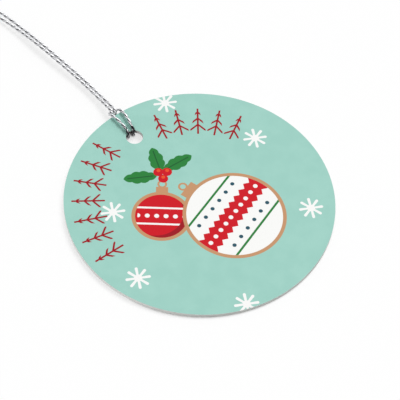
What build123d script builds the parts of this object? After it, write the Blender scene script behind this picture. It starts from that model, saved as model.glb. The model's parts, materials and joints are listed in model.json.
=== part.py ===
"""Round gift tag of laminated card, with a silver cord tied through its hole by a cow hitch.

The tag lies face up. Its far rim touches the surface, and the cord under the hole lifts the hole's side,
so the card leans by about one degree. The origin is on the surface under the card's middle, +Y points from
the card's middle towards the hole, and +Z is up. Sizes are in millimetres.
"""
import os
from math import asin, cos, degrees, pi, radians, sin, sqrt, tan

from build123d import *

os.makedirs("parts", exist_ok=True)

# Card: three plies, a round outline and a punched hole
tag_d = 70.0
face_t = 0.12
core_t = 0.86
back_t = 0.12
edge_round = 0.05
hole_d = 4.5
hole_to_rim = 8.9

# Cord, and the room that it keeps to the card, to itself and to the surface
cord_d = 0.9
card_gap = 0.12
strand_gap = 0.1
floor_gap = 0.02

# Cow hitch: its turn off the line from the card's middle to the hole, and the shape of its bight
hitch_lean = 6.3
turn_room = 0.1
back_bow = 0.08
front_bow = 0.35
bight_drop = 0.45
bight_half_w = 1.0
bight_spread = 0.12

# Legs, from the bight outwards: sideways, along, lift of the underside, extra spread from the middle
leg_route = [
    (0.33, 5.0, 2.35, 0.0),
    (0.45, 13.0, 2.45, -0.02),
    (0.10, 22.0, 2.68, -0.01),
    (-0.40, 31.0, 2.78, -0.02),
    (-0.80, 39.0, 2.30, 0.05),
    (-1.44, 47.0, 1.62, 0.27),
    (-2.30, 55.0, 0.75, 0.33),
    (-3.25, 63.0, 0.14, 0.30),
    (-4.35, 70.0, 0.70, 0.14),
]

# Knot that closes the loop: its place from the bight, its bulk over the two legs, and its tails
knot_aside = -5.6
knot_along = 77.0
knot_turn = 9.5
knot_length = 4.2
knot_lip = 0.2
knot_waist = 1.2
knot_bulge = 2.0
knot_run = 2.5
tail_length = 9.0
tail_splay = 1.9

# An arc's tangent length as a share of the shorter of its two runs
ARC_SHARE = 0.45

# Card places
tag_r = tag_d / 2
hole_r = hole_d / 2
half_t = (face_t + core_t + back_t) / 2
hole_y = tag_r - hole_to_rim

# Cord centreline: distance to the card's faces, round its edges, and between neighbouring strands
cord_r = cord_d / 2
reach = cord_r + card_gap
corner = reach * sqrt(2)
pitch = cord_d + strand_gap
pair_x = pitch / 2
side_x = pair_x + pitch + bight_spread

# Hitch places, from the hole's middle outwards along the cord
lean = radians(hitch_lean)
hole_edge = sqrt(hole_r**2 - pair_x**2)
hole_in = sqrt((hole_r - reach) ** 2 - pair_x**2)
rim_out = sqrt(tag_r**2 - (hole_y * sin(lean)) ** 2) - hole_y * cos(lean)
strip = rim_out - hole_edge
bight_out = rim_out + reach + turn_room + pitch
bight_up = half_t - bight_drop

# The card leans on its far rim and on the strands under the hole's edge
tilt = asin((corner + cord_r + floor_gap) / (tag_r + hole_y + hole_edge))
card_plane = Plane(
    origin=(0, 0, tag_r * sin(tilt) + half_t * cos(tilt)),
    x_dir=(1, 0, 0),
    z_dir=(0, -sin(tilt), cos(tilt)),
)
hitch_plane = Plane(
    origin=card_plane.from_local_coords((0, hole_y, 0)),
    x_dir=card_plane.x_dir * cos(lean) - card_plane.y_dir * sin(lean),
    z_dir=card_plane.z_dir,
)
bight_middle = hitch_plane.from_local_coords(Vector(0, bight_out, bight_up))

# Knot places: its plane has x to the right, y down and z along the cord
knot_neck_d = 2 * (pair_x + cord_r) + knot_lip
knot_d = knot_neck_d + knot_bulge
knot_waist_d = knot_neck_d + knot_waist
lay_plane = Plane(origin=(bight_middle.X, bight_middle.Y, 0))
knot_plane = Plane(
    origin=lay_plane.from_local_coords((knot_aside, knot_along, knot_d / 2 + floor_gap)),
    x_dir=(cos(radians(knot_turn)), sin(radians(knot_turn)), 0),
    z_dir=(-sin(radians(knot_turn)), cos(radians(knot_turn)), 0),
)


def ply(bottom, thickness):
    """One flat layer of the card with its hole, from a height on the card's own axis."""
    with BuildPart() as layer:
        with BuildSketch(card_plane.offset(bottom)):
            Circle(tag_r)
            with Locations((0, hole_y)):
                Circle(hole_r, mode=Mode.SUBTRACT)
        extrude(amount=thickness)
    return layer


def corner_radii(points):
    """Radius at each inner point: as large as the shorter of its two runs allows."""
    radii = []
    for before, at, after in zip(points, points[1:], points[2:]):
        run_in = at - before
        run_out = after - at
        half_turn = radians(run_in.get_angle(run_out)) / 2
        radii.append(ARC_SHARE * min(run_in.length, run_out.length) / tan(half_turn))
    return radii


def cord_tube(label, points):
    """A stretch of cord along straight runs joined by tangent arcs, with its figures printed."""
    radii = corner_radii(points)
    with BuildPart() as tube:
        with BuildLine() as route:
            FilletPolyline(*points, radius=radii)
        with BuildSketch(Plane(route.line @ 0, z_dir=route.line % 0)):
            Circle(cord_r)
        sweep()
    tube.part.label = label
    length = route.wire().length
    section_volume = pi * cord_r**2 * length
    print(
        f"{label}: length {length:.2f}, least radius {min(radii):.2f},",
        f"volume over section times length {tube.part.volume / section_volume:.4f}",
    )
    print("  radii", " ".join(f"{radius:.1f}" for radius in radii))
    return tube


def hitch_points():
    """Points of the hitch, from the left strand's end under the rim, round the bight, to the right one's."""
    under = half_t + corner
    floor_slope = tan(tilt) * cos(lean)
    front_spread = side_x - pair_x
    left_half = [
        (pair_x, rim_out + 0.85 * corner + turn_room, -half_t - 0.15 * corner),
        (pair_x, rim_out + turn_room, -under - floor_slope * strip),
        (pair_x + back_bow, rim_out - 0.3 * strip, -under - floor_slope * 0.7 * strip),
        (pair_x + back_bow, hole_edge + 0.3 * strip, -under - floor_slope * 0.3 * strip),
        (pair_x, hole_edge, -under),
        (pair_x, hole_in, hole_edge - hole_in - under),
        (pair_x, hole_in, under - hole_edge + hole_in),
        (pair_x, hole_edge, under),
        (pair_x + 0.30 * front_spread, hole_edge + 0.20 * strip, under + 0.8 * front_bow),
        (pair_x + 0.75 * front_spread, hole_edge + 0.48 * strip, under + front_bow),
        (side_x, hole_edge + 0.77 * strip, under + 0.6 * front_bow),
        (side_x, rim_out + turn_room, under),
        (side_x, bight_out - reach, bight_up + 0.45 * pitch),
        (bight_half_w, bight_out, bight_up),
    ]
    both = [(-x, y, z) for x, y, z in left_half] + left_half[::-1]
    return [hitch_plane.from_local_coords(Vector(*point)) for point in both]


def leg_points(side):
    """Points of one leg, side -1 on the left and 1 on the right, from over the bight to the knot."""
    start = hitch_plane.from_local_coords(Vector(side * pair_x, bight_out, bight_up + pitch))
    lay = [
        lay_plane.from_local_coords(Vector(aside + side * (pair_x + spread), along, cord_r + lift))
        for aside, along, lift, spread in leg_route
    ]
    entry = [knot_plane.from_local_coords(Vector(side * pair_x, 0, z)) for z in (-knot_run, 0)]
    return [start, *lay, *entry]


def tail_points(side):
    """Points of one tail, from the knot's far end down to the surface and away from the other tail."""
    drop = knot_d / 2 - cord_r
    tail_route = [
        (0.0, 0.0, 0.0),
        (0.0, 0.0, 0.18),
        (0.2, 0.45, 0.46),
        (0.55, 0.85, 0.72),
        (1.0, 1.0, 0.96),
    ]
    return [
        knot_plane.from_local_coords(
            Vector(side * (pair_x + aside * tail_splay), down * drop, knot_length + along * tail_length)
        )
        for aside, down, along in tail_route
    ]


# Back paper, its outer edges eased where the die pressed them
back_paper = ply(-half_t, back_t)
with back_paper:
    fillet(back_paper.faces().sort_by(Axis.Z)[0].edges(), min(edge_round, back_t / 2))
back_paper.part.label = "back_paper"
export_step(back_paper.part, "parts/back_paper.step")

# Grey board between the papers
core_board = ply(back_t - half_t, core_t)
core_board.part.label = "core_board"
export_step(core_board.part, "parts/core_board.step")

# Face paper, its outer edges eased like the back's
face_paper = ply(half_t - face_t, face_t)
with face_paper:
    fillet(face_paper.faces().sort_by(Axis.Z)[-1].edges(), min(edge_round, face_t / 2))
face_paper.part.label = "face_paper"
export_step(face_paper.part, "parts/face_paper.step")

# Cow hitch: up from under the rim, along the back to the hole, up through it, over the front in a low bow,
# and round the bight just outside the rim
cord_hitch = cord_tube("cord_hitch", hitch_points())
export_step(cord_hitch.part, "parts/cord_hitch.step")

# The two legs of the loop, side by side over the bight
cord_leg_left = cord_tube("cord_leg_left", leg_points(-1))
export_step(cord_leg_left.part, "parts/cord_leg_left.step")
cord_leg_right = cord_tube("cord_leg_right", leg_points(1))
export_step(cord_leg_right.part, "parts/cord_leg_right.step")

# Knot: a barrel with a bulge for each wrap of the doubled cord
with BuildPart() as cord_knot:
    with BuildSketch(Plane(knot_plane.origin, x_dir=knot_plane.x_dir, z_dir=-knot_plane.y_dir)):
        with BuildLine():
            ThreePointArc(
                (knot_neck_d / 2, 0),
                (knot_d / 2, knot_length / 4),
                (knot_waist_d / 2, knot_length / 2),
            )
            ThreePointArc(
                (knot_waist_d / 2, knot_length / 2),
                (knot_d / 2, knot_length * 3 / 4),
                (knot_neck_d / 2, knot_length),
            )
            Polyline(
                (knot_neck_d / 2, knot_length),
                (0, knot_length),
                (0, 0),
                (knot_neck_d / 2, 0),
            )
        make_face()
    revolve(axis=Axis(knot_plane.origin, knot_plane.z_dir))
cord_knot.part.label = "cord_knot"
export_step(cord_knot.part, "parts/cord_knot.step")

# Tails beyond the knot
cord_tail_left = cord_tube("cord_tail_left", tail_points(-1))
export_step(cord_tail_left.part, "parts/cord_tail_left.step")
cord_tail_right = cord_tube("cord_tail_right", tail_points(1))
export_step(cord_tail_right.part, "parts/cord_tail_right.step")

# Lean of the card and the axes that the hitch and the loop turn about
print("card tilt", round(degrees(tilt), 4))
print("hitch turn axis at", hitch_plane.origin, "along", hitch_plane.z_dir)
print("loop swing axis at", bight_middle, "along", hitch_plane.x_dir)
print("knot plane", knot_plane)
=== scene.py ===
"""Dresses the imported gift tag: its printed card, its twisted silver cord, and a plain studio.

Places are in metres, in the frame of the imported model: +Y runs from the card's middle to its
hole, and +Z up out of the printed face. Sizes that a maker reads off a ruler are written in
millimetres, and become metres by MM.
"""
import json
import logging
import math
from dataclasses import dataclass, field
from enum import Enum
from typing import Any, Mapping, Optional, Protocol, Sequence, Union

import bpy
from mathutils import Matrix, Quaternion, Vector

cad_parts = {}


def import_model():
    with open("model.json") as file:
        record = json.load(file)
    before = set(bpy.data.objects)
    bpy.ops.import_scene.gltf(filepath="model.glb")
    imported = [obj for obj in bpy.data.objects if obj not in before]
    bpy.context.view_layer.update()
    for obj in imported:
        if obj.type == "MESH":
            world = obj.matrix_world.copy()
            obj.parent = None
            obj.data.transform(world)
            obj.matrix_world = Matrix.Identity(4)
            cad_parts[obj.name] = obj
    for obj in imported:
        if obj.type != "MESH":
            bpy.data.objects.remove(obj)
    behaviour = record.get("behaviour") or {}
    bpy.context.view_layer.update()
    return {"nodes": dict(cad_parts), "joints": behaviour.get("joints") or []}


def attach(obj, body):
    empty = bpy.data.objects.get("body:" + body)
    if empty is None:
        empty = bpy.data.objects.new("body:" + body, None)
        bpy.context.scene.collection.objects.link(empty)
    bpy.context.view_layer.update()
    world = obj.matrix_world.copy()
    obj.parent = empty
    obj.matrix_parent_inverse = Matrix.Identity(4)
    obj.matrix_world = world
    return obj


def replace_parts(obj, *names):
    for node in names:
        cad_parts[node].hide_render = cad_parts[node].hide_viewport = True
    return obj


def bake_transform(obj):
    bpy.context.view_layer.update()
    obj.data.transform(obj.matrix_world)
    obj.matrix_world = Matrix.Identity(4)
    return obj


LOG = logging.getLogger("gift_tag")

Colour = tuple[float, float, float, float]
Pair = tuple[float, float]
Point = tuple[float, float, float]
Row = tuple[float, float, float, float]

MM = 0.001
IN_MM: Point = (1000.0, 1000.0, 1000.0)
FLAT_MM: Point = (1000.0, 1000.0, 0.0)
PURE_WHITE: Colour = (1.0, 1.0, 1.0, 1.0)

# Soft noise lies round one half: the part of its range that a cloudy colour uses
CLOUDY: Pair = (0.3, 0.7)
SPECKLED: Pair = (0.35, 0.65)

# Half the width over which a printed edge fades, in millimetres
INK_SPREAD = 0.05

SPLINE_ORDER = 3


def swatch(red: int, green: int, blue: int) -> Colour:
    """Turns a swatch's display values, from 0 to 255, into a linear colour.

    Args:
        red: Display value of the red channel.
        green: Display value of the green channel.
        blue: Display value of the blue channel.

    Returns:
        The linear colour, with an alpha of 1.
    """
    linear = []
    for value in (red, green, blue):
        share = value / 255
        dark = share <= 0.04045
        linear.append(share / 12.92 if dark else ((share + 0.055) / 1.055) ** 2.4)
    return (*linear, 1.0)


class Ink(Enum):
    """The print's colours."""

    WHITE = swatch(250, 250, 248)
    RED = swatch(207, 14, 31)
    DEEP_RED = swatch(158, 10, 26)
    TAN = swatch(200, 150, 110)
    GREEN = swatch(40, 127, 57)
    DEEP_GREEN = swatch(24, 92, 44)
    SLATE = swatch(40, 84, 100)
    ORANGE = swatch(235, 85, 40)


class Side(Enum):
    """The two sides of the cord, seen from the printed face with the hole at the top."""

    LEFT = -1
    RIGHT = 1


class Coordinates(Enum):
    """What a finish is laid out on: the solid itself, or the ply's own UV map."""

    SOLID = "Object"
    PLY = "UV"


class Shade:
    """A number socket of a node tree, so that shader maths is written as arithmetic."""

    def __init__(self, recipe: "Recipe", socket: bpy.types.NodeSocket) -> None:
        """Keeps the socket and the recipe that adds nodes behind it."""
        self.recipe = recipe
        self.socket = socket

    def __add__(self, other: "Number") -> "Shade":
        """Adds a number or another socket."""
        return self.recipe.maths("ADD", self, other)

    def __sub__(self, other: "Number") -> "Shade":
        """Takes away a number or another socket."""
        return self.recipe.maths("SUBTRACT", self, other)

    def __rsub__(self, other: float) -> "Shade":
        """Takes this socket away from a number."""
        return self.recipe.maths("SUBTRACT", other, self)

    def __mul__(self, other: "Number") -> "Shade":
        """Multiplies by a number or another socket."""
        return self.recipe.maths("MULTIPLY", self, other)

    def __mod__(self, period: float) -> "Shade":
        """Repeats the value over a period, from 0 up."""
        return self.recipe.maths("FLOORED_MODULO", self, period)

    def __abs__(self) -> "Shade":
        """Drops the sign."""
        return self.recipe.maths("ABSOLUTE", self)

    def __gt__(self, limit: float) -> "Shade":
        """Gives 1 above a limit and 0 below it."""
        return self.recipe.maths("GREATER_THAN", self, limit)

    def __lt__(self, limit: float) -> "Shade":
        """Gives 1 below a limit and 0 above it."""
        return self.recipe.maths("LESS_THAN", self, limit)

    __radd__ = __add__
    __rmul__ = __mul__

    def ramp(self, low: float, high: float) -> "Shade":
        """Rises smoothly from 0 to 1, or falls where the second value is the smaller.

        Args:
            low: The value that gives 0.
            high: The value that gives 1.

        Returns:
            The ramp's socket.
        """
        settings = {"interpolation_type": "SMOOTHSTEP"}
        inputs = {"Value": self, "From Min": low, "From Max": high}
        made = self.recipe.node("ShaderNodeMapRange", settings, inputs)
        return Shade(self.recipe, made.outputs["Result"])

    def wave(self, period: float) -> "Shade":
        """Repeats the value over a period, from minus half of it to half of it."""
        return self % period - period / 2


Number = Union[Shade, float]


class Recipe:
    """A node tree that is filled by expressions and by one method for any node."""

    def __init__(self, tree: bpy.types.NodeTree) -> None:
        """Starts with an empty tree."""
        self.tree = tree
        self.tree.nodes.clear()

    def node(
        self,
        kind: str,
        settings: Optional[Mapping[str, Any]] = None,
        inputs: Optional[Mapping[Union[int, str], Any]] = None,
    ) -> bpy.types.Node:
        """Adds one node.

        Args:
            kind: The node's type.
            settings: The node's own settings, which are set first.
            inputs: Values or links of its sockets, by name or number.

        Returns:
            The new node.
        """
        made = self.tree.nodes.new(kind)
        for name, value in (settings or {}).items():
            setattr(made, name, value)
        for key, value in (inputs or {}).items():
            if isinstance(value, Shade):
                value = value.socket
            if isinstance(value, bpy.types.NodeSocket):
                self.tree.links.new(value, made.inputs[key])
            else:
                made.inputs[key].default_value = value
        return made

    def maths(self, operation: str, *values: Number) -> Shade:
        """Adds a Math node on numbers and sockets."""
        made = self.node("ShaderNodeMath", {"operation": operation}, dict(enumerate(values)))
        return Shade(self, made.outputs[0])

    def least(self, first: Number, *others: Number) -> Shade:
        """Joins shapes.

        Args:
            first: Distance to the first shape.
            *others: Distances to the other shapes.

        Returns:
            The smallest of the distances.
        """
        for other in others:
            first = self.maths("MINIMUM", first, other)
        return first

    def most(self, first: Number, *others: Number) -> Shade:
        """Keeps what shapes share.

        Args:
            first: Distance to the first shape.
            *others: Distances to the other shapes.

        Returns:
            The largest of the distances.
        """
        for other in others:
            first = self.maths("MAXIMUM", first, other)
        return first

    def blend(self, factor: Number, first: Any, second: Any) -> bpy.types.NodeSocket:
        """Mixes two colours by a factor."""
        inputs = {0: factor, 6: first, 7: second}
        return self.node("ShaderNodeMix", {"data_type": "RGBA"}, inputs).outputs[2]

    def choose(self, factor: Number, first: Any, second: Any) -> bpy.types.NodeSocket:
        """Goes over from one vector to another by a factor."""
        inputs = {0: factor, 4: first, 5: second}
        return self.node("ShaderNodeMix", {"data_type": "VECTOR"}, inputs).outputs[1]

    def ink(self, under: Any, distance: Shade, ink: Ink) -> bpy.types.NodeSocket:
        """Prints a shape, given by the distance to its outline, over the colour so far."""
        return self.blend(distance.ramp(INK_SPREAD, -INK_SPREAD), under, ink.value)

    def vector(self, operation: str, first: Any, second: Point) -> bpy.types.Node:
        """Adds a Vector Math node on a vector and a fixed one."""
        return self.node("ShaderNodeVectorMath", {"operation": operation}, {0: first, 1: second})

    def parts(self, vector: Any) -> tuple[Shade, Shade, Shade]:
        """Splits a vector into its three numbers."""
        made = self.node("ShaderNodeSeparateXYZ", None, {0: vector})
        return tuple(Shade(self, socket) for socket in made.outputs)

    def place(self, source: Coordinates, scale: Point) -> bpy.types.NodeSocket:
        """Reads coordinates, scaled along each axis."""
        made = self.node("ShaderNodeTexCoord")
        return self.vector("MULTIPLY", made.outputs[source.value], scale).outputs[0]

    def turned(self, flat: Any, centre: Pair, turn: float) -> tuple[Shade, Shade]:
        """Gives places across and up a motif that is moved and turned.

        Args:
            flat: Places on the card.
            centre: The motif's middle.
            turn: Its turn to the left, in degrees.

        Returns:
            The place across the motif and the place up it.
        """
        rotation = (0.0, 0.0, math.radians(turn))
        inputs = {"Vector": flat, "Location": (*centre, 0.0), "Rotation": rotation}
        moved = self.node("ShaderNodeMapping", {"vector_type": "TEXTURE"}, inputs)
        across, up, _ = self.parts(moved.outputs[0])
        return across, up

    def distance(self, vector: Any, place: Point) -> Shade:
        """Distance from a fixed place."""
        return Shade(self, self.vector("DISTANCE", vector, place).outputs[1])

    def length(self, first: Number, second: Number) -> Shade:
        """Length of a flat vector."""
        return self.maths("SQRT", self.maths("ADD", self.square(first), self.square(second)))

    def square(self, value: Number) -> Shade:
        """A value times itself."""
        return self.maths("MULTIPLY", value, value)

    def noise(self, vector: Any, scale: float, detail: float) -> Shade:
        """Soft random values around one half."""
        inputs = {"Vector": vector, "Scale": scale, "Detail": detail}
        return Shade(self, self.node("ShaderNodeTexNoise", None, inputs).outputs[0])

    def bump(self, height: Shade, depth: float, strength: float = 1.0) -> bpy.types.NodeSocket:
        """Turns a height into a normal, with its depth in millimetres."""
        inputs = {"Height": height, "Distance": depth * MM, "Strength": strength}
        return self.node("ShaderNodeBump", None, inputs).outputs[0]

    def surface(self, **sockets: Any) -> None:
        """Ends the tree in a Principled shader.

        Args:
            **sockets: Values or links of its sockets, named by words joined with underscores.
        """
        inputs = {name.replace("_", " "): value for name, value in sockets.items()}
        shader = self.node("ShaderNodeBsdfPrincipled", None, inputs)
        self.node("ShaderNodeOutputMaterial", None, {"Surface": shader.outputs[0]})

    def seen_directly(self) -> Shade:
        """Tells what is seen from what only lights other things.

        Returns:
            1 to the eye, in reflections and through clear things, and 0 to other light.
        """
        path = self.node("ShaderNodeLightPath")
        names = ("Is Camera Ray", "Is Glossy Ray", "Is Transmission Ray")
        return self.most(*(Shade(self, path.outputs[name]) for name in names))


class Finish(Protocol):
    """What every finish gives: a material to put on a piece."""

    name: str

    def fill(self, recipe: Recipe) -> None:
        """Writes the finish into an empty tree."""


def material_of(finish: Finish) -> bpy.types.Material:
    """Makes a finish's material.

    Args:
        finish: The finish to write into it.

    Returns:
        The new material, with the finish's name.
    """
    made = bpy.data.materials.new(finish.name)
    made.use_nodes = True
    finish.fill(Recipe(made.node_tree))
    return made


class Motif(Protocol):
    """What every printed motif gives: its inks over the colour so far."""

    def print_on(self, recipe: Recipe, flat: Any, under: Any) -> bpy.types.NodeSocket:
        """Prints the motif over a colour, by places on the card."""


@dataclass(frozen=True)
class Flakes:
    """White flakes: arms that widen a little to their round ends, round a small heart.

    Lengths are in millimetres on the card, from its middle.
    """

    centres: tuple[Pair, ...] = (
        (13.8, 29.7),
        (24.4, 5.5),
        (20.1, -20.5),
        (-27.9, -8.4),
        (-12.3, -31.3),
        (-19.9, 11.0),
    )
    arms: int = 8
    turn: float = 15.0
    reach: float = 2.8
    heart: float = 1.05
    arm_half: float = 0.27
    arm_widening: float = 0.04

    def print_on(self, recipe: Recipe, flat: Any, under: Any) -> bpy.types.NodeSocket:
        """Prints the flakes.

        Args:
            recipe: The material's tree.
            flat: Places on the card.
            under: The colour so far.

        Returns:
            The colour with the flakes on it.
        """
        across, up, _ = recipe.parts(self.nearest(recipe, flat))
        far = recipe.length(across, up)
        step = 2 * math.pi / self.arms
        around = recipe.maths("ARCTAN2", up, across) - math.radians(self.turn) + step / 2
        angle = around.wave(step)
        along = far * recipe.maths("COSINE", angle)
        aside = abs(far * recipe.maths("SINE", angle))
        past = recipe.most(along - self.reach, 0.0)
        arm = recipe.length(aside, past) - self.arm_half - self.arm_widening * along
        return recipe.ink(under, recipe.least(arm, far - self.heart), Ink.WHITE)

    def nearest(self, recipe: Recipe, flat: Any) -> bpy.types.NodeSocket:
        """Gives places from the middle of the nearest flake.

        Args:
            recipe: The material's tree.
            flat: Places on the card.

        Returns:
            The vector from that flake's middle.
        """
        first, *others = self.centres
        chosen = recipe.vector("SUBTRACT", flat, (*first, 0.0)).outputs[0]
        for centre in others:
            moved = recipe.vector("SUBTRACT", flat, (*centre, 0.0)).outputs[0]
            near = recipe.distance(flat, (*centre, 0.0)) < 2 * self.reach
            chosen = recipe.choose(near, chosen, moved)
        return chosen


@dataclass(frozen=True)
class Firs:
    """Line-drawn firs that stand on an arc to the left and to the right of the hole.

    Lengths are in millimetres on the card. Feet are the arcs' radii, and counts the firs on
    them, on the left and on the right.
    """

    turn: float = 11.5
    height: float = 8.4
    feet: Pair = (24.4, 21.2)
    counts: tuple[int, int] = (7, 5)
    stem_half: float = 0.24
    stem_tip: float = 0.2
    trunk: float = 1.2
    foot_half: float = 2.45
    taper: float = 0.26
    bough_step: float = 2.1
    bough_fall: float = 0.9
    bough_lean: float = 0.74
    bough_half: float = 0.25

    def print_on(self, recipe: Recipe, flat: Any, under: Any) -> bpy.types.NodeSocket:
        """Prints the firs.

        Args:
            recipe: The material's tree.
            flat: Places on the card.
            under: The colour so far.

        Returns:
            The colour with the firs on it.
        """
        x, y, _ = recipe.parts(flat)
        turn = math.radians(self.turn)
        angle = recipe.maths("ARCTAN2", x, y)
        far = recipe.length(x, y)
        aside = abs(angle.wave(turn) * far)
        left_foot, right_foot = self.feet
        up = far - left_foot + (left_foot - right_foot) * (angle > 0)
        bough = abs((up + self.bough_fall * aside).wave(self.bough_step))
        stroke = self.bough_lean * bough - self.bough_half
        width = aside + self.taper * up - self.foot_half
        boughs = recipe.most(stroke, width, self.trunk - up, up - self.height)
        stem = recipe.most(aside - self.stem_half, 0.0 - up, up - self.height - self.stem_tip)
        left_count, right_count = self.counts
        row = (angle > turn) * (angle < (right_count + 1) * turn)
        row = row + (angle < -turn) * (angle > -(left_count + 1) * turn)
        return recipe.ink(under, recipe.least(boughs, stem) + (1 - row), Ink.DEEP_RED)


@dataclass(frozen=True)
class Bauble:
    """A printed bauble with a tan outline, and a cap with a ring to hang by.

    Attributes:
        centre: Its middle on the card, in millimetres, as all its lengths are.
        radius: Its radius inside the outline.
        turn: How far its top is turned to the left, in degrees.
        outline: Width of the outline.
        cap_share: Half the cap's width as a share of the radius, on top of cap_half.
        cap_half: The part of that half width that every cap has.
        cap_up: From the ball's top to the cap's middle.
        cap_tall: Half the cap's height.
        ring_up: From the ball's top to the ring's middle.
        ring_radius: Radius of the ring's stroke.
        ring_half: Half the ring's stroke.
    """

    centre: Pair
    radius: float
    turn: float
    outline: float = 0.95
    cap_share: float = 0.16
    cap_half: float = 0.5
    cap_up: float = 1.4
    cap_tall: float = 1.1
    ring_up: float = 3.4
    ring_radius: float = 1.0
    ring_half: float = 0.27

    def print_ball(
        self, recipe: Recipe, under: Any, across: Shade, up: Shade, ink: Ink
    ) -> tuple[bpy.types.NodeSocket, Shade]:
        """Prints the cap, the outline and the plain ball.

        Args:
            recipe: The material's tree.
            under: The colour so far.
            across: Places across the bauble.
            up: Places up the bauble.
            ink: The ball's colour.

        Returns:
            The colour with the bauble on it, and the distance to the ball.
        """
        ball = recipe.length(across, up) - self.radius
        cap_half = self.cap_share * self.radius + self.cap_half
        cap_tall = abs(up - self.radius - self.cap_up) - self.cap_tall
        cap = recipe.most(abs(across) - cap_half, cap_tall)
        stroke = recipe.length(across, up - self.radius - self.ring_up) - self.ring_radius
        colour = recipe.ink(under, recipe.least(cap, abs(stroke) - self.ring_half), Ink.TAN)
        colour = recipe.ink(colour, ball - self.outline, Ink.TAN)
        return recipe.ink(colour, ball, ink), ball


@dataclass(frozen=True)
class RedBauble(Bauble):
    """The small red bauble: two white hoops, white dots between them, and a deeper side."""

    hoop_up: float = 2.5
    hoop_half: float = 0.28
    dot_step: float = 2.4
    dot_radius: float = 0.62
    dot_margin: float = 0.6
    lit_aside: float = -1.6
    lit_up: float = 1.2
    lit_reach: float = 0.6

    def print_on(self, recipe: Recipe, flat: Any, under: Any) -> bpy.types.NodeSocket:
        """Prints the bauble.

        Args:
            recipe: The material's tree.
            flat: Places on the card.
            under: The colour so far.

        Returns:
            The colour with the bauble on it.
        """
        across, up = recipe.turned(flat, self.centre, self.turn)
        colour, ball = self.print_ball(recipe, under, across, up, Ink.RED)
        hoops = abs(abs(up) - self.hoop_up) - self.hoop_half
        colour = recipe.ink(colour, recipe.most(hoops, ball), Ink.WHITE)
        dots = recipe.length(across.wave(self.dot_step), up) - self.dot_radius
        colour = recipe.ink(colour, recipe.most(dots, ball + self.dot_margin), Ink.WHITE)
        lit = recipe.length(across - self.lit_aside, up - self.lit_up)
        deep = recipe.most(self.radius + self.lit_reach - lit, ball)
        return recipe.ink(colour, deep, Ink.DEEP_RED)


@dataclass(frozen=True)
class WhiteBauble(Bauble):
    """The large white bauble: a toothed red belt with beads, slate dots and green hoops."""

    belt_up: float = 0.4
    belt_half: float = 1.9
    tooth_step: float = 2.4
    tooth_height: float = 0.9
    bead_radius: float = 0.6
    bead_margin: float = 0.5
    dot_step: float = 3.2
    dot_up: float = 5.3
    dot_radius: float = 0.55
    dot_margin: float = 0.9
    hoop_up: float = 7.4
    hoop_half: float = 0.3

    def print_on(self, recipe: Recipe, flat: Any, under: Any) -> bpy.types.NodeSocket:
        """Prints the bauble.

        Args:
            recipe: The material's tree.
            flat: Places on the card.
            under: The colour so far.

        Returns:
            The colour with the bauble on it.
        """
        across, up = recipe.turned(flat, self.centre, self.turn)
        colour, ball = self.print_ball(recipe, under, across, up, Ink.WHITE)
        tooth = abs(across.wave(self.tooth_step))
        off_belt = abs(up - self.belt_up)
        belt = off_belt - self.belt_half - self.tooth_height * tooth
        colour = recipe.ink(colour, recipe.most(belt, ball), Ink.RED)
        beads = recipe.length(tooth, up - self.belt_up) - self.bead_radius
        colour = recipe.ink(colour, recipe.most(beads, ball + self.bead_margin), Ink.WHITE)
        dots = recipe.length(across.wave(self.dot_step), off_belt - self.dot_up)
        dots = recipe.most(dots - self.dot_radius, ball + self.dot_margin)
        colour = recipe.ink(colour, dots, Ink.SLATE)
        hoops = abs(off_belt - self.hoop_up) - self.hoop_half
        return recipe.ink(colour, recipe.most(hoops, ball), Ink.GREEN)


@dataclass(frozen=True)
class Sprig:
    """The sprig that the baubles hang from: toothed leaves with a vein, and berries.

    Lengths are in millimetres on the card. A leaf is given by its middle and its turn, in
    degrees, and is the lens that two arcs share.
    """

    leaves: tuple[Point, ...] = ((3.2, 12.4, -6.0), (-7.4, 15.0, 148.0), (-0.6, 16.4, 66.0))
    leaf_half_length: float = 4.7
    leaf_half_width: float = 2.0
    tooth_depth: float = 0.34
    tooth_rate: float = 1.35
    tooth_inset: float = 0.3
    vein_half: float = 0.16
    vein_share: float = 0.72
    berries: tuple[Pair, ...] = ((-3.1, 10.9), (-0.9, 11.9), (-2.7, 13.3))
    berry_radius: float = 1.3
    glint_shift: float = 0.35
    glint_radius: float = 0.5

    def print_on(self, recipe: Recipe, flat: Any, under: Any) -> bpy.types.NodeSocket:
        """Prints the leaves and the berries over them.

        Args:
            recipe: The material's tree.
            flat: Places on the card.
            under: The colour so far.

        Returns:
            The colour with the sprig on it.
        """
        colour = under
        half_length, half_width = self.leaf_half_length, self.leaf_half_width
        arc = (half_length**2 + half_width**2) / (2 * half_width)
        for x, y, turn in self.leaves:
            across, up = recipe.turned(flat, (x, y), turn)
            teeth = self.tooth_depth * abs(recipe.maths("SINE", self.tooth_rate * across))
            lens = recipe.length(across, abs(up) + arc - half_width) - arc
            colour = recipe.ink(colour, lens - teeth + self.tooth_inset, Ink.GREEN)
            vein_end = abs(across) - self.vein_share * half_length
            vein = recipe.most(abs(up) - self.vein_half, vein_end)
            colour = recipe.ink(colour, vein, Ink.DEEP_GREEN)
        for x, y in self.berries:
            berry = recipe.distance(flat, (x, y, 0.0)) - self.berry_radius
            colour = recipe.ink(colour, berry, Ink.RED)
            lit_at = (x + self.glint_shift, y + self.glint_shift, 0.0)
            glint = recipe.distance(flat, lit_at) - self.glint_radius
            colour = recipe.ink(colour, glint, Ink.ORANGE)
        return colour


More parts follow.
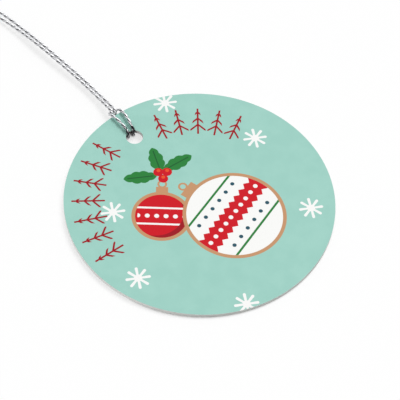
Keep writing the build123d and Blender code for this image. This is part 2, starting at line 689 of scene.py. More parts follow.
@dataclass(frozen=True)
class PrintedPaper:
    """Satin paper with a mint ground and a printed design, worn pale along its cut edges.

    Lengths are in millimetres on the card, from its middle, with the hole at the top. The
    face's height and slope tell the printed face from the paper's cut edge below it.
    """

    name: str = "printed_paper"
    ground: tuple[Colour, Colour] = (swatch(158, 208, 196), swatch(163, 212, 200))
    ground_cloud: Pair = (0.22, 2.0)
    worn: Colour = swatch(222, 226, 222)
    worn_share: float = 0.75
    worn_from: float = 0.02
    worn_to: float = 0.1
    worn_unevenness: float = 0.12
    cut_paper: Colour = swatch(206, 210, 207)
    cut_depth: Pair = (0.02, 0.05)
    card_radius: float = 35.0
    hole_radius: float = 2.25
    hole_up: float = 26.1
    face_height: float = 1.806
    face_slope: float = 0.02017
    grain: Pair = (5.0, 4.0)
    grain_depth: float = 0.006
    grain_strength: float = 0.6
    roughness: Pair = (0.44, 0.16)
    gloss: float = 0.12
    flakes: Flakes = Flakes()
    firs: Firs = Firs()
    ruby: RedBauble = RedBauble((-11.2, 2.2), 6.7, -42.0)
    pearl: WhiteBauble = WhiteBauble((3.5, -9.5), 12.4, 16.0)
    sprig: Sprig = Sprig()

    def fill(self, recipe: Recipe) -> None:
        """Writes the print, the paper's grain and its worn edges into a tree.

        Args:
            recipe: The empty tree of the material.
        """
        solid = recipe.place(Coordinates.SOLID, IN_MM)
        flat = recipe.place(Coordinates.SOLID, FLAT_MM)
        grain = recipe.noise(solid, *self.grain)
        cloud = recipe.noise(solid, *self.ground_cloud)
        colour = recipe.blend(cloud.ramp(*CLOUDY), *self.ground)
        motifs: tuple[Motif, ...] = (self.flakes, self.firs, self.ruby, self.pearl, self.sprig)
        for motif in motifs:
            colour = motif.print_on(recipe, flat, colour)
        worn = self.worn_share * self.worn_edges(recipe, flat, grain)
        colour = recipe.blend(worn, colour, self.worn)
        _, up_card, height = recipe.parts(solid)
        depth = self.face_height + self.face_slope * up_card - height
        colour = recipe.blend(depth.ramp(*self.cut_depth), colour, self.cut_paper)
        smooth, rough = self.roughness
        recipe.surface(
            Base_Color=colour,
            Roughness=smooth + rough * grain,
            Specular_IOR_Level=self.gloss,
            Normal=recipe.bump(grain, self.grain_depth, self.grain_strength),
        )

    def worn_edges(self, recipe: Recipe, flat: Any, grain: Shade) -> Shade:
        """Finds the rim and the hole's edge, where the print is rubbed off.

        Args:
            recipe: The material's tree.
            flat: Places on the card.
            grain: The paper's grain, which makes the wear uneven.

        Returns:
            1 where the edge is worn and 0 on the face.
        """
        rim = recipe.distance(flat, (0.0, 0.0, 0.0)) + self.worn_unevenness * grain
        hole = recipe.distance(flat, (0.0, self.hole_up, 0.0)) - self.worn_unevenness * grain
        return recipe.most(
            rim.ramp(self.card_radius - self.worn_from, self.card_radius + self.worn_to),
            hole.ramp(self.hole_radius + self.worn_from, self.hole_radius - self.worn_to),
        )


@dataclass(frozen=True)
class GreyBoard:
    """Cut edge of grey board: pressed layers, pale and dark fibres, a rough matt face.

    The edge is painted paler from the card's middle up, as painted light on a side that falls in
    shade; near the hole's edge, where the cord bends over it, it has painted shade. Places and
    lengths are in millimetres.
    """

    name: str = "grey_board"
    layers: tuple[Colour, Colour] = (swatch(178, 181, 179), swatch(204, 206, 203))
    layer_spacing: Point = (600.0, 600.0, 9000.0)
    layer_noise: Pair = (1.0, 3.0)
    fibre_noise: Pair = (9.0, 4.0)
    pale_fibre: Colour = swatch(222, 222, 218)
    pale_range: Pair = (0.6, 0.75)
    dark_fibre: Colour = swatch(140, 142, 140)
    dark_range: Pair = (0.4, 0.25)
    # Painted light: the cut edge is painted paler from the card's middle up.
    painted_lit_edge: Colour = swatch(244, 244, 241)
    lit_edge_share: float = 0.85
    lit_edge_range: Pair = (-32.0, -6.0)
    # Painted shade: the cut edge is painted dark near the hole, where the cord bends over it.
    painted_hole_shade: Colour = swatch(70, 62, 62)
    hole_shade_at: Point = (-0.1, 28.2, 1.8)
    hole_shade_range: Pair = (2.7, 1.5)
    roughness: Pair = (0.86, 0.1)
    fibre_depth: float = 0.02

    def fill(self, recipe: Recipe) -> None:
        """Writes the layers and the fibres into a tree.

        Args:
            recipe: The empty tree of the material.
        """
        solid = recipe.place(Coordinates.SOLID, IN_MM)
        pressed = recipe.place(Coordinates.SOLID, self.layer_spacing)
        layers = recipe.noise(pressed, *self.layer_noise)
        fibres = recipe.noise(solid, *self.fibre_noise)
        colour = recipe.blend(layers.ramp(*CLOUDY), *self.layers)
        colour = recipe.blend(fibres.ramp(*self.pale_range), colour, self.pale_fibre)
        colour = recipe.blend(fibres.ramp(*self.dark_range), colour, self.dark_fibre)
        # Painted light: the cut edge goes paler from the card's middle up.
        _, up_card, _ = recipe.parts(solid)
        painted_lit_edge = self.lit_edge_share * up_card.ramp(*self.lit_edge_range)
        colour = recipe.blend(painted_lit_edge, colour, self.painted_lit_edge)
        # Painted shade: the cut edge goes dark near the hole's edge, where the cord bends over it.
        painted_hole_shade = recipe.distance(solid, self.hole_shade_at).ramp(*self.hole_shade_range)
        colour = recipe.blend(painted_hole_shade, colour, self.painted_hole_shade)
        smooth, rough = self.roughness
        recipe.surface(
            Base_Color=colour,
            Roughness=smooth + rough * fibres,
            Normal=recipe.bump(layers + fibres, self.fibre_depth),
        )


@dataclass(frozen=True)
class PlainPaper:
    """Uncoated white paper for writing on: a soft mottle, fine fibres and a dry face.

    The back's height and slope, in millimetres, tell the face from the paper's cut edge.
    """

    name: str = "plain_paper"
    paper: tuple[Colour, Colour] = (swatch(236, 234, 228), swatch(244, 243, 238))
    mottle_noise: Pair = (0.5, 3.0)
    mottle_height: float = 0.5
    fibre: Colour = swatch(214, 210, 202)
    fibre_spacing: Point = (2600.0, 700.0, 700.0)
    fibre_noise: Pair = (1.0, 4.0)
    fibre_range: Pair = (0.62, 0.8)
    fibre_share: float = 0.5
    fibre_depth: float = 0.012
    cut_paper: Colour = swatch(198, 199, 196)
    cut_depth: Pair = (0.02, 0.05)
    back_height: float = 0.706
    back_slope: float = 0.02017
    roughness: Pair = (0.8, 0.12)

    def fill(self, recipe: Recipe) -> None:
        """Writes the mottle and the fibres into a tree.

        Args:
            recipe: The empty tree of the material.
        """
        solid = recipe.place(Coordinates.SOLID, IN_MM)
        drawn_out = recipe.place(Coordinates.SOLID, self.fibre_spacing)
        mottle = recipe.noise(solid, *self.mottle_noise)
        fibres = recipe.noise(drawn_out, *self.fibre_noise)
        colour = recipe.blend(mottle.ramp(*CLOUDY), *self.paper)
        shown = self.fibre_share * fibres.ramp(*self.fibre_range)
        colour = recipe.blend(shown, colour, self.fibre)
        _, up_card, height = recipe.parts(solid)
        depth = height - self.back_slope * up_card - self.back_height
        colour = recipe.blend(depth.ramp(*self.cut_depth), colour, self.cut_paper)
        smooth, rough = self.roughness
        recipe.surface(
            Base_Color=colour,
            Roughness=smooth + rough * fibres,
            Normal=recipe.bump(fibres + self.mottle_height * mottle, self.fibre_depth),
        )


@dataclass(frozen=True)
class SilverThread:
    """Metallised film wound round each ply: bright crowns, painted shade in the creases, fine turns
    of film.

    It is laid out on the ply's own UV map: round the ply, from the side that faces out of the
    cord, and along the cord in lengths of its lay. Near the hole's edge, where the cord bends over
    it, the film has painted shade in patches. Places and lengths are in millimetres.
    """

    name: str = "silver_cord"
    film: tuple[Colour, Colour] = (swatch(206, 207, 210), swatch(238, 238, 240))
    glitter_noise: Pair = (7.0, 3.0)
    # Painted shade: the side of each ply that faces into the cord is painted dark, unevenly.
    crease_shade: Colour = swatch(58, 58, 62)
    crease_shade_range: Pair = (0.15, -0.45)
    crease_shade_share: Pair = (0.6, 0.4)
    crease_shade_noise: Pair = (0.16, 1.0)
    seam: Colour = swatch(110, 110, 114)
    seam_range: Pair = (0.1, 0.0)
    seam_share: float = 0.45
    film_turns: float = 22.0
    film_range: Pair = (0.0, 0.3)
    film_depth: float = 0.02
    film_strength: float = 0.7
    # Painted shade: dark patches are painted on the cord near the hole's edge.
    painted_cord_shade: Colour = swatch(38, 37, 40)
    cord_shade_at: Point = (0.2, 27.9, 2.4)
    cord_shade_range: Pair = (3.2, 1.4)
    cord_shade_noise: Pair = (2.2, 1.0)
    cord_shade_patches: Pair = (0.6, 0.5)
    roughness: Pair = (0.2, 0.3)

    def fill(self, recipe: Recipe) -> None:
        """Writes the crowns, the creases and the film's turns into a tree.

        Args:
            recipe: The empty tree of the material.
        """
        around, along, _ = recipe.parts(recipe.place(Coordinates.PLY, (1.0, 1.0, 1.0)))
        solid = recipe.place(Coordinates.SOLID, IN_MM)
        # Painted shade: each ply goes dark on its side that faces into the cord, unevenly along it.
        facing = recipe.maths("COSINE", 2 * math.pi * around)
        crease_shade_spread = recipe.noise(solid, *self.crease_shade_noise).ramp(*SPECKLED)
        least, more = self.crease_shade_share
        crease_shade = facing.ramp(*self.crease_shade_range) * (least + more * crease_shade_spread)
        film = abs((self.film_turns * along + around).wave(1.0))
        glitter = recipe.noise(solid, *self.glitter_noise)
        colour = recipe.blend(glitter.ramp(*SPECKLED), *self.film)
        colour = recipe.blend(crease_shade, colour, self.crease_shade)
        seam = self.seam_share * film.ramp(*self.seam_range)
        colour = recipe.blend(seam, colour, self.seam)
        # Painted shade: the cord goes dark, in patches, near the hole's edge.
        painted_cord_shade = recipe.distance(solid, self.cord_shade_at).ramp(*self.cord_shade_range)
        patches = recipe.noise(solid, *self.cord_shade_noise).ramp(*self.cord_shade_patches)
        colour = recipe.blend(painted_cord_shade * patches, colour, self.painted_cord_shade)
        smooth, rough = self.roughness
        height = film.ramp(*self.film_range)
        recipe.surface(
            Base_Color=colour,
            Metallic=1.0,
            Roughness=smooth + rough * glitter,
            Normal=recipe.bump(height, self.film_depth, self.film_strength),
        )


@dataclass(frozen=True)
class WhiteFloor:
    """White sweep: its own white to the eye and in metal, with soft and contact shadows on it.

    Its white gives way to plain lit white close under the object, within contact_reach
    millimetres.
    """

    name: str = "white_floor"
    white_share: float = 0.67
    contact_reach: float = 0.5
    contact_samples: int = 8

    def fill(self, recipe: Recipe) -> None:
        """Writes the mix of lit and plain white into a tree.

        Args:
            recipe: The empty tree of the material.
        """
        settings = {"samples": self.contact_samples}
        inputs = {"Distance": self.contact_reach * MM}
        near = recipe.node("ShaderNodeAmbientOcclusion", settings, inputs)
        open_share = recipe.square(Shade(recipe, near.outputs["AO"]))
        white = self.white_share * (recipe.seen_directly() * open_share)
        lit = recipe.node("ShaderNodeBsdfDiffuse", None, {"Color": PURE_WHITE})
        plain = recipe.node("ShaderNodeEmission", None, {"Color": PURE_WHITE, "Strength": 1.0})
        layers = {0: white, 1: lit.outputs[0], 2: plain.outputs[0]}
        mixed = recipe.node("ShaderNodeMixShader", None, layers)
        recipe.node("ShaderNodeOutputMaterial", None, {"Surface": mixed.outputs[0]})


@dataclass(frozen=True)
class DarkCloth:
    """Matt dark cloth of a flag that stands beside the set."""

    name: str = "dark_cloth"
    colour: Colour = swatch(22, 22, 24)
    roughness: float = 0.9

    def fill(self, recipe: Recipe) -> None:
        """Writes a plain dark face into a tree."""
        recipe.surface(Base_Color=self.colour, Roughness=self.roughness)


@dataclass
class Card:
    """The round card: three glued plies that stay as they were packed, each in its finish."""

    printed: PrintedPaper = field(default_factory=PrintedPaper)
    board: GreyBoard = field(default_factory=GreyBoard)
    plain: PlainPaper = field(default_factory=PlainPaper)

    def dress(self, nodes: Mapping[str, bpy.types.Object]) -> None:
        """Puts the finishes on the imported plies.

        Args:
            nodes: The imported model's objects by name.
        """
        finishes: dict[str, Finish] = {
            "face_paper": self.printed,
            "core_board": self.board,
            "back_paper": self.plain,
        }
        for name, finish in finishes.items():
            nodes[name].data.materials.clear()
            nodes[name].data.materials.append(material_of(finish))
            LOG.info("%s wears %s", name, finish.name)


@dataclass
class Stretch:
    """A stretch of the cord's middle line, with a frame at each point that doesn't twist.

    Attributes:
        points: The places along the line.
        along: The distance of each point from the cord's first end.
        tangents: The line's direction at each point.
        normals: A direction across the line at each point.
    """

    points: list[Vector]
    along: list[float]
    tangents: list[Vector]
    normals: list[Vector]

    def cut(self, first: int, last: int) -> "Stretch":
        """Takes the stretch between two points, both included.

        Args:
            first: Number of the first point.
            last: Number of the last point.

        Returns:
            The stretch, with its distances still from the cord's first end.
        """
        part = slice(first, last + 1)
        return Stretch(
            self.points[part], self.along[part], self.tangents[part], self.normals[part]
        )

    def length(self) -> float:
        """Length of the stretch."""
        return self.along[-1] - self.along[0]


@dataclass
class Skin:
    """Points, faces and UV places of a mesh in the making, one UV place for each corner."""

    points: list[Vector] = field(default_factory=list)
    faces: list[tuple[int, ...]] = field(default_factory=list)
    uvs: list[Pair] = field(default_factory=list)


def smooth_line(route: Sequence[Vector], resolution: int) -> list[Vector]:
    """Draws the smooth line of a cord through the pull of its route's points.

    Args:
        route: The route's points, which are the spline's control points.
        resolution: Steps of the spline for each point.

    Returns:
        The points of the line, read from the spline.
    """
    curve = bpy.data.curves.new("cord_route", "CURVE")
    curve.dimensions = "3D"
    spline = curve.splines.new("NURBS")
    spline.points.add(len(route) - 1)
    for control, place in zip(spline.points, route):
        control.co = (*place, 1.0)
    spline.order_u = SPLINE_ORDER
    spline.use_endpoint_u = True
    spline.resolution_u = resolution
    guide = bpy.data.objects.new("cord_route", curve)
    bpy.context.scene.collection.objects.link(guide)
    bpy.context.view_layer.update()
    drawn = bpy.data.meshes.new_from_object(guide)
    points = [vertex.co.copy() for vertex in drawn.vertices]
    bpy.data.objects.remove(guide)
    bpy.data.curves.remove(curve)
    bpy.data.meshes.remove(drawn)
    return points


def framed(points: Sequence[Vector]) -> Stretch:
    """Gives a line its distances and its frames.

    Args:
        points: The line's points.

    Returns:
        The line as a stretch.
    """
    along = [0.0]
    for before, after in zip(points, points[1:]):
        along.append(along[-1] + (after - before).length)
    tangents = [direction(points, index) for index in range(len(points))]
    normal = tangents[0].orthogonal()
    normals = []
    for tangent in tangents:
        normal = (normal - tangent * normal.dot(tangent)).normalized()
        normals.append(normal)
    return Stretch(list(points), along, tangents, normals)


def direction(points: Sequence[Vector], index: int) -> Vector:
    """Gives a line's direction at one of its points, from the points beside it.

    Args:
        points: The line's points.
        index: Number of the point.

    Returns:
        The direction, of length 1.
    """
    before = points[max(index - 1, 0)]
    after = points[min(index + 1, len(points) - 1)]
    return (after - before).normalized()


@dataclass
class Cord:
    """The silver cord: one length of laid plies, hitched through the hole and knotted to a loop.

    Routes repeat the part's own points, with the hitch's strands and the legs moved to where the
    photograph has them. Lengths are in millimetres and turns in degrees.

    Attributes:
        thread: The finish of its plies.
        diameter: Its diameter.
        plies: How many plies are laid.
        lay: Length of one turn of the plies.
        ply_share: A ply's radius as a share of the cord's.
        sides: Sides of a ply's tube.
        pair_x: Half the distance between the two cords, middle to middle.
        resolution: Steps of the spline for each point of the route.
        drift: How unevenly the plies turn: shares of a turn, and the lengths of their waves.
        swell: How unevenly a ply is thick: a share, its rate, and its shift from ply to ply.
        fray: Length over which the plies open at the cord's ends.
        fray_open: How much further out they stand there, as a share.
        floor_room: Least height of a ply's middle, as a share of its radius.
        hitch_route: Rows (left strand, right strand, out, up) from the hole's middle.
        over_bight: Rows (across, out, up) of a leg's first points, from the hole's middle.
        bend_reach: Across, out and up, from a leg's start to where it is free of the hitch.
        leg_route: Rows (aside, along, lift, spread) from the bight.
        knot_place: The knot's near end, from the bight.
        knot_turn: The knot's turn to the left.
        knot_length: Length of the knot.
        knot_run: The straight run of the legs before it.
        knot_entry: Rows (turn, radius, along) of a cord's way in, from the knot's middle.
        knot_wrap: First and last such row of the wrap round the knot.
        knot_wrap_steps: Steps of the wrap.
        tail_route: Rows (aside, drop, along) as shares of the next three.
        tail_splay: How far a tail's end stands aside.
        tail_drop: From the knot's middle down to a tail that lies on the floor.
        tail_length: Length of a tail past the knot.
    """

    thread: SilverThread = field(default_factory=SilverThread)
    diameter: float = 0.9
    plies: int = 2
    lay: float = 4.2
    ply_share: float = 0.57
    sides: int = 12
    pair_x: float = 0.5
    resolution: int = 24
    drift: tuple[Pair, ...] = ((0.09, 3.1), (0.06, 1.3))
    swell: Point = (0.03, 2.1, 2.4)
    fray: float = 2.2
    fray_open: float = 0.9
    floor_room: float = 1.05
    hitch_route: tuple[Row, ...] = (
        (-0.50, 0.50, 9.725, -0.671),
        (-0.50, 0.50, 9.040, -1.491),
        (-0.62, 0.60, 6.916, -1.451),
        (-0.75, 0.75, 4.218, -1.397),
        (-0.85, 0.85, 2.090, -1.356),
        (-0.85, 0.85, 1.530, -0.766),
        (-0.85, 0.85, 1.530, 0.766),
        (-0.85, 0.88, 2.090, 1.356),
        (-0.78, 1.12, 3.543, 1.600),
        (-0.90, 1.44, 5.432, 1.680),
        (-1.10, 1.68, 7.389, 1.566),
        (-1.38, 1.62, 9.040, 1.356),
        (-1.40, 1.62, 10.040, 0.550),
        (-0.85, 1.00, 10.610, 0.100),
    )
    over_bight: tuple[Point, ...] = ((0.50, 9.62, 1.08), (0.50, 10.61, 1.10))
    bend_reach: Point = (0.0, 2.9, 1.5)
    leg_route: tuple[Row, ...] = (
        (0.80, 5.48, 1.45, 0.0),
        (1.05, 13.62, 1.30, -0.02),
        (0.56, 22.47, 1.80, -0.01),
        (0.05, 31.46, 1.92, -0.02),
        (-0.26, 39.56, 1.25, 0.05),
        (-0.94, 47.52, 0.65, 0.27),
        (-2.10, 55.21, 0.36, 0.33),
        (-3.25, 63.0, 0.14, 0.30),
        (-4.35, 70.0, 0.70, 0.14),
    )
    knot_place: Point = (-5.6, 77.0, 2.07)
    knot_turn: float = 9.5
    knot_length: float = 4.2
    knot_run: float = 2.5
    knot_entry: tuple[Point, ...] = (
        (0.0, 0.37, -2.8),
        (11.0, 0.62, -0.96),
        (56.0, 0.62, 0.0),
        (75.0, 0.62, 0.47),
        (129.0, 1.02, 1.15),
    )
    knot_wrap: tuple[Point, Point] = ((176.5, 1.7, 1.0), (475.5, 1.7, -1.0))
    knot_wrap_steps: int = 8
    tail_route: tuple[Point, ...] = (
        (0.0, 0.0, 0.18),
        (0.2, 0.45, 0.46),
        (0.55, 0.85, 0.72),
        (1.0, 1.0, 0.96),
    )
    tail_splay: float = 1.9
    tail_drop: float = 1.6
    tail_length: float = 9.0

    hitch_plane: Matrix = field(init=False, repr=False)
    leg_plane: Matrix = field(init=False, repr=False)
    knot_plane: Matrix = field(init=False, repr=False)
    silver: bpy.types.Material = field(init=False, repr=False)
    whole: float = field(default=0.0, init=False)
    stretches: dict[str, Stretch] = field(default_factory=dict, init=False, repr=False)
    pieces: dict[str, bpy.types.Object] = field(default_factory=dict, init=False, repr=False)

    def settle(self, joints: Sequence[Mapping[str, Any]]) -> None:
        """Sets up the planes of the hitch, of the legs and of the knot.

        Args:
            joints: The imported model's joints.
        """
        named = {joint["name"]: joint for joint in joints}
        turn, swing = named["hitch_turn"], named["loop_swing"]
        across, up = Vector(swing["axis"]), Vector(turn["axis"])
        self.hitch_plane = self.plane(Vector(turn["pos_m"]), across, up.cross(across))
        bight = Vector(swing["pos_m"])
        right, ahead, down = Vector((1, 0, 0)), Vector((0, 1, 0)), Vector((0, 0, -1))
        self.leg_plane = self.plane(Vector((bight.x, bight.y, 0)), right, ahead)
        lean = Matrix.Rotation(math.radians(self.knot_turn), 3, "Z")
        start = self.leg_plane @ (Vector(self.knot_place) * MM)
        self.knot_plane = self.plane(start, lean @ right, down)
        LOG.info("knot stands at %s", tuple(start))

    @staticmethod
    def plane(origin: Vector, across: Vector, up: Vector) -> Matrix:
        """Makes a plane's matrix from its origin and two of its axes.

        Args:
            origin: The plane's origin.
            across: Its first axis.
            up: Its second axis.

        Returns:
            The matrix from the plane's places to the model's.
        """
        axes = Matrix((across, up, across.cross(up))).transposed()
        return Matrix.Translation(origin) @ axes.to_4x4()

    def hitch_points(self) -> list[Vector]:
        """Gives the hitch's points, from one strand's end under the rim to the other's.

        Returns:
            The points, from the left strand round the bight to the right one.
        """
        rows = [(left, out, up) for left, _, out, up in self.hitch_route]
        rows += [(right, out, up) for _, right, out, up in reversed(self.hitch_route)]
        return [self.hitch_plane @ (Vector(row) * MM) for row in rows]

    def leg_points(self, side: Side) -> list[Vector]:
        """Gives the points of one leg, up inside the bight, over it and out to the knot.

        Args:
            side: Which of the two legs.

        Returns:
            The leg's points, from the hitch outwards.
        """
        points = []
        for across, out, up in self.over_bight:
            points.append(self.hitch_plane @ (Vector((side.value * across, out, up)) * MM))
        for aside, ahead, lift, spread in self.leg_route:
            across = aside + side.value * (self.pair_x + spread)
            points.append(self.leg_plane @ (Vector((across, ahead, self.diameter / 2 + lift)) * MM))
        entry = Vector((side.value * self.pair_x, 0, -self.knot_run))
        points.append(self.knot_plane @ (entry * MM))
        return points

    def knot_line(self) -> list[Vector]:
        """Gives the line midway between the two cords of the overhand knot.

        Returns:
            Its points from the knot's middle, from the near end to the far end.
        """
        (first_turn, radius, first_along), (last_turn, _, last_along) = self.knot_wrap
        rows = list(self.knot_entry)
        for step in range(self.knot_wrap_steps + 1):
            share = step / self.knot_wrap_steps
            turn = first_turn + (last_turn - first_turn) * share
            rows.append((turn, radius, first_along + (last_along - first_along) * share))
        for turn, radius, along in reversed(self.knot_entry):
            rows.append((first_turn + last_turn - turn, radius, -along))
        line = []
        for turn, radius, along in rows:
            angle = math.radians(turn)
            line.append(Vector((radius * math.sin(angle), radius * math.cos(angle), along)))
        return line

    def knot_points(self, side: Side) -> list[Vector]:
        """Gives the points of one cord through the knot, beside the other cord.

        Args:
            side: Which of the two cords.

        Returns:
            The cord's points, from the knot's near end to its far end.
        """
        line = self.knot_line()
        middle = Vector((0, 0, self.knot_length / 2))
        points = []
        for index, place in enumerate(line):
            outwards = Vector((place.x, place.y, 0)).normalized()
            beside = outwards.cross(direction(line, index)).normalized()
            place = place + beside * side.value * self.pair_x + middle
            points.append(self.knot_plane @ (place * MM))
        return points

    def tail_points(self, side: Side) -> list[Vector]:
        """Gives the points of one tail, down to the floor and away from the other tail.

        Args:
            side: Which of the two tails.

        Returns:
            The tail's points, from the knot outwards.
        """
        points = []
        for aside, drop, along in self.tail_route:
            across = side.value * (self.pair_x + aside * self.tail_splay)
            ahead = self.knot_length + along * self.tail_length
            place = Vector((across, drop * self.tail_drop, ahead))
            points.append(self.knot_plane @ (place * MM))
        return points

    def build(self) -> None:
        """Draws the cord as one line and cuts it, midway between two points of its route."""
        routes = {
            "tail_left": self.tail_points(Side.LEFT)[::-1],
            "knot_left": self.knot_points(Side.LEFT)[::-1],
            "leg_left": self.leg_points(Side.LEFT)[::-1],
            "hitch": self.hitch_points(),
            "leg_right": self.leg_points(Side.RIGHT),
            "knot_right": self.knot_points(Side.RIGHT),
            "tail_right": self.tail_points(Side.RIGHT),
        }
        controls = [point for route in routes.values() for point in route]
        line = framed(smooth_line(controls, self.resolution))
        self.whole = line.length()
        steps = len(line.points) - 1
        spans = len(controls) - SPLINE_ORDER + 1
        passed = first = 0
        for name, route in routes.items():
            passed += len(route)
            last = min(round((passed - 1) * steps / spans), steps)
            self.stretches[name] = line.cut(first, last)
            first = last
        LOG.info("cord is %.1f mm long, with %d points", self.whole / MM, len(line.points))

    def lay_plies(self, name: str, stretches: Sequence[Stretch]) -> bpy.types.Object:
        """Lays the plies of one or more stretches as a closed mesh.

        Args:
            name: The piece's name.
            stretches: The stretches that the piece holds.

        Returns:
            The new object, with its plies' own UV map.
        """
        skin = Skin()
        for stretch in stretches:
            for ply in range(self.plies):
                self.add_ply(stretch, ply, skin)
        mesh = bpy.data.meshes.new(name)
        mesh.from_pydata([tuple(point) for point in skin.points], [], skin.faces)
        layer = mesh.uv_layers.new(name="UVMap")
        for loop, uv in zip(layer.data, skin.uvs):
            loop.uv = uv
        for polygon in mesh.polygons:
            polygon.use_smooth = len(polygon.vertices) < self.sides
        piece = bpy.data.objects.new(name, mesh)
        bpy.context.scene.collection.objects.link(piece)
        mesh.materials.append(self.silver)
        self.pieces[name] = piece
        LOG.info("%s has %d faces", name, len(mesh.polygons))
        return piece

    def ply_line(self, stretch: Stretch, ply: int) -> tuple[list[Vector], list[Vector]]:
        """Winds one ply's middle line round the cord's, opened at the cord's frayed ends.

        Args:
            stretch: The stretch of the cord.
            ply: The ply's number.

        Returns:
            The ply's points, and the direction out of the cord at each of them.
        """
        radius = self.diameter / 2 * MM
        off = (1 - self.ply_share) * radius
        lowest = self.floor_room * self.ply_share * radius
        centres, outs = [], []
        for index, along in enumerate(stretch.along):
            drift = sum(share * math.sin(along / MM / wave) for share, wave in self.drift)
            turns = ply / self.plies - along / (self.lay * MM) + drift
            turned = Quaternion(stretch.tangents[index], 2 * math.pi * turns)
            out = turned @ stretch.normals[index]
            to_end = min(along, self.whole - along) / (self.fray * MM)
            opened = self.fray_open * max(0.0, 1.0 - to_end) ** 2
            centre = stretch.points[index] + out * off * (1 + opened)
            centre.z = max(centre.z, lowest)
            centres.append(centre)
            outs.append(out)
        return centres, outs

    def add_ply(self, stretch: Stretch, ply: int, skin: Skin) -> None:
        """Adds one ply's closed tube to a mesh in the making.

        Args:
            stretch: The stretch of the cord.
            ply: The ply's number.
            skin: The mesh so far.
        """
        centres, outs = self.ply_line(stretch, ply)
        base, last = len(skin.points), len(centres) - 1
        thick = self.ply_share * self.diameter / 2 * MM
        swell_share, swell_rate, swell_shift = self.swell
        for index, (centre, out) in enumerate(zip(centres, outs)):
            ahead = direction(centres, index)
            first = (out - ahead * out.dot(ahead)).normalized()
            second = ahead.cross(first)
            wave = math.sin(stretch.along[index] / MM * swell_rate + swell_shift * ply)
            radius = thick * (1 + swell_share * wave)
            for side in range(self.sides):
                angle = 2 * math.pi * side / self.sides
                spoke = first * math.cos(angle) + second * math.sin(angle)
                skin.points.append(centre + spoke * radius)
        lays = [along / (self.lay * MM) for along in stretch.along]
        for index, (low, high) in enumerate(zip(lays, lays[1:])):
            here = base + index * self.sides
            there = here + self.sides
            for side in range(self.sides):
                after = (side + 1) % self.sides
                skin.faces.append((here + side, here + after, there + after, there + side))
                left, right = side / self.sides, (side + 1) / self.sides
                skin.uvs += [(left, low), (right, low), (right, high), (left, high)]
        ends = ((base, -1, lays[0]), (base + last * self.sides, 1, lays[last]))
        for start, way, lay in ends:
            skin.faces.append(tuple(start + side for side in range(self.sides)[::way]))
            skin.uvs += [(0.5, lay)] * self.sides

    def dress(self) -> None:
        self.silver = material_of(self.thread)
        stretches = self.stretches
        hitch = self.lay_plies("cord_hitch_laid", [stretches["hitch"]])
        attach(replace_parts(hitch, "cord_hitch"), "hitch")
        both = [stretches["knot_left"], stretches["knot_right"]]
        knot = self.lay_plies("cord_knot_tied", both)
        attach(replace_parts(knot, "cord_knot"), "loop")
        for side in Side:
            word = side.name.lower()
            tail = self.lay_plies(f"cord_tail_{word}_laid", [stretches[f"tail_{word}"]])
            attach(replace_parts(tail, f"cord_tail_{word}"), "loop")
            self.lay_leg(word, side)
        line = stretches["hitch"]
        line.length()

    def lay_leg(self, word: str, side: Side) -> None:
        """Args:
            word: The side's name in the piece's name.
            side: Which of the two legs.
        """
        line = self.stretches[f"leg_{word}"]
        points = line.points if side is Side.RIGHT else line.points[::-1]
        leg = self.lay_plies(f"cord_leg_{word}_laid", [line])
        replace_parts(leg, f"cord_leg_{word}")
        reach = self.hitch_plane.to_3x3() @ Vector(self.bend_reach) * MM
        points[0] + reach
        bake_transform(leg)
        line.length()


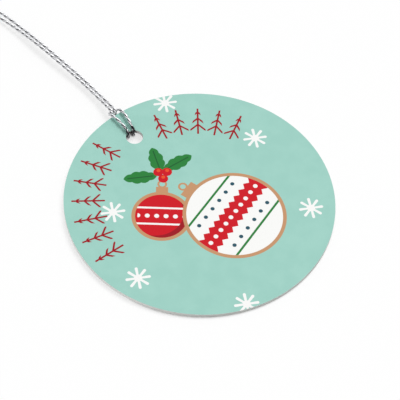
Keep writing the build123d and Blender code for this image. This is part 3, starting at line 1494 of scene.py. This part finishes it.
@dataclass
class Studio:
    """White floor, even white surroundings, a soft lamp, a flag, and the photograph's camera.

    The lamp stands on the card's right. The flag stands on its left and shows only in what
    shines, where it draws the dark side of the silver.

    Attributes:
        floor: Finish of the floor.
        cloth: Finish of the flag.
        flag_size: The flag's width and height, in metres.
        flag_place: The flag's middle, in metres.
        floor_size: Side of the floor, in metres.
        fill_light: Strength of the surroundings' light.
        lamp_light: Strength of the lamp.
        lamp_width: Angle that the lamp fills, in degrees.
        lamp_from: Direction in which the lamp stands.
        lens: The camera's focal length, in millimetres.
        sensor: Width of its sensor, in millimetres.
        target: The place that it looks at, in millimetres.
        distance: Its distance from there, in millimetres.
        azimuth: Its turn round the card from the foot, in degrees.
        elevation: Its height over the floor, in degrees.
        roll: Its turn about the line of sight, in degrees.
    """

    floor: WhiteFloor = field(default_factory=WhiteFloor)
    cloth: DarkCloth = field(default_factory=DarkCloth)
    flag_size: Pair = (3.0, 0.8)
    flag_place: Point = (-0.9, 0.4, 0.45)
    floor_size: float = 8.0
    fill_light: float = 0.58
    lamp_light: float = 1.43
    lamp_width: float = 30.0
    lamp_from: Point = (0.48, 0.08, 1.0)
    lens: float = 144.0
    sensor: float = 36.0
    target: Point = (-0.26, -0.33, 1.80)
    distance: float = 411.6
    azimuth: float = -43.97
    elevation: float = 53.31
    roll: float = 3.02

    def build(self) -> None:
        """Makes the floor, the flag, the light and the camera."""
        self.lay_floor()
        self.hang_flag()
        self.light()
        self.aim()

    @staticmethod
    def sheet(name: str, size: float, finish: Finish) -> bpy.types.Object:
        """Adds a square sheet in a finish, flat at the origin.

        Args:
            name: The sheet's name.
            size: Length of its sides, in metres.
            finish: What it is made of.

        Returns:
            The sheet.
        """
        bpy.ops.object.select_all(action="DESELECT")
        bpy.ops.mesh.primitive_plane_add(size=size)
        made = bpy.context.object
        made.name = name
        made.data.materials.append(material_of(finish))
        LOG.info("%s is of %s", name, finish.name)
        return made

    def lay_floor(self) -> None:
        """Lays the floor under the tag."""
        self.sheet("floor", self.floor_size, self.floor)

    def hang_flag(self) -> None:
        """Hangs the flag where neither the camera nor the lamp's light meets it."""
        width, height = self.flag_size
        flag = self.sheet("flag", 1.0, self.cloth)
        upright = Matrix.Rotation(math.radians(90), 4, "Y")
        sized = Matrix.Diagonal((height, width, 1.0, 1.0))
        flag.data.transform(Matrix.Translation(self.flag_place) @ upright @ sized)
        flag.visible_camera = flag.visible_diffuse = flag.visible_shadow = False

    def light(self) -> None:
        """Sets the surroundings' light and hangs the lamp."""
        world = bpy.data.worlds.new("surroundings")
        bpy.context.scene.world = world
        world.use_nodes = True
        recipe = Recipe(world.node_tree)
        glows = [
            recipe.node("ShaderNodeBackground", None, {"Color": PURE_WHITE, "Strength": strength})
            for strength in (self.fill_light, 1.0)
        ]
        fill, white = (glow.outputs[0] for glow in glows)
        layers = {0: recipe.seen_directly(), 1: fill, 2: white}
        mixed = recipe.node("ShaderNodeMixShader", None, layers)
        recipe.node("ShaderNodeOutputWorld", None, {"Surface": mixed.outputs[0]})
        lamp = bpy.data.lights.new("softbox", "SUN")
        lamp.energy = self.lamp_light
        lamp.angle = math.radians(self.lamp_width)
        hung = bpy.data.objects.new("softbox", lamp)
        hung.rotation_mode = "QUATERNION"
        hung.rotation_quaternion = Vector(self.lamp_from).to_track_quat("Z", "Y")
        bpy.context.scene.collection.objects.link(hung)

    def aim(self) -> None:
        """Sets up the camera as the photograph was taken."""
        data = bpy.data.cameras.new("camera")
        data.lens = self.lens
        data.sensor_width = self.sensor
        camera = bpy.data.objects.new("camera", data)
        turn, rise = math.radians(self.azimuth), math.radians(self.elevation)
        level = math.cos(rise)
        back = Vector((math.sin(turn) * level, -math.cos(turn) * level, math.sin(rise)))
        camera.location = (Vector(self.target) + back * self.distance) * MM
        camera.rotation_mode = "QUATERNION"
        roll = Quaternion((0, 0, 1), math.radians(self.roll))
        camera.rotation_quaternion = (-back).to_track_quat("-Z", "Y") @ roll
        bpy.context.scene.collection.objects.link(camera)
        bpy.context.scene.camera = camera


def main() -> None:
    """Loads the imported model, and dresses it."""
    logging.basicConfig(level=logging.INFO, format="%(name)s: %(message)s")
    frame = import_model()
    bpy.context.scene.view_settings.view_transform = "Standard"
    Studio().build()
    Card().dress(frame["nodes"])
    cord = Cord()
    cord.settle(frame["joints"])
    cord.build()
    cord.dress()


if __name__ == "__main__":
    main()
